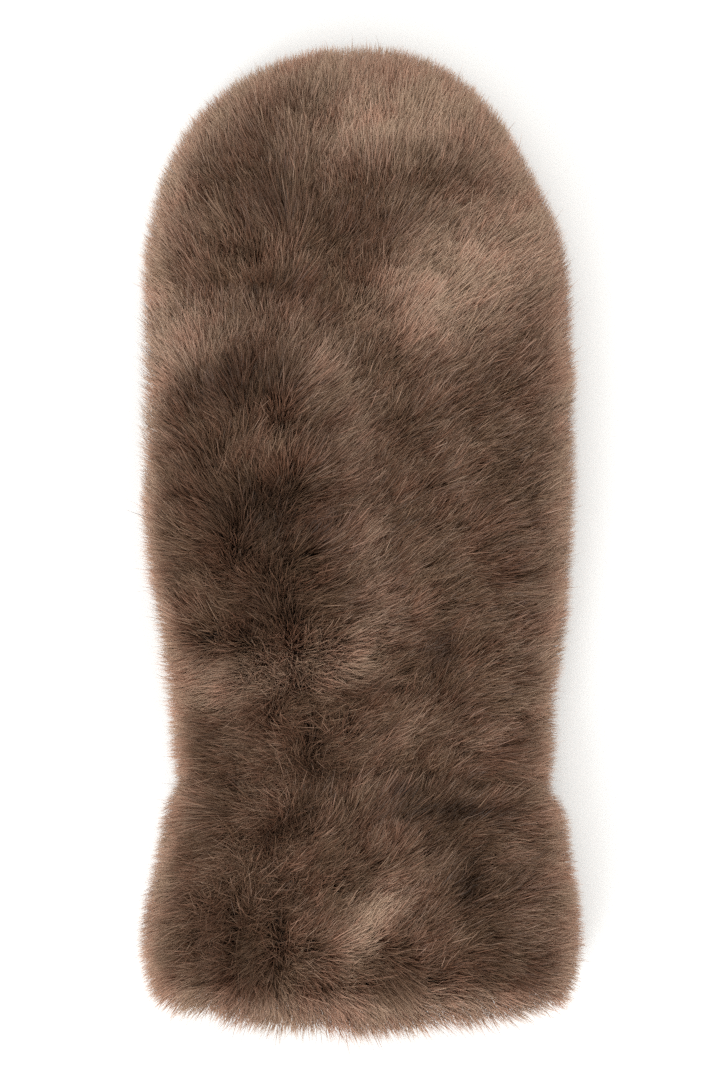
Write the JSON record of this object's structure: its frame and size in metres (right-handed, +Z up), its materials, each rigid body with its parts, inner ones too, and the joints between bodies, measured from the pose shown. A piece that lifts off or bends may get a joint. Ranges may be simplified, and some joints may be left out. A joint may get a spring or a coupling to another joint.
{
  "type": "mitten",
  "caption": "Deep-fur mitten for the right hand, lying palm down: rounded hand, thumb folded beneath, gathered wrist and flared open cuff.",
  "frame": {"origin": "on the surface the mitten lies on, under the middle of its bounding box", "axes": "+Y from the hem of the cuff to the fingertips, +X to the wearer's little finger, +Z up through the back of the hand"},
  "size_m": [0.1342, 0.2918, 0.0511],
  "materials": {
    "fur": "deep brown fur, brushed, with a soft sheen"
  },
  "bodies": {
    "root": {"back_panel": "fur", "palm_panel": "fur", "thumb": "fur", "cuff": "fur"}
  },
  "joints": []
}
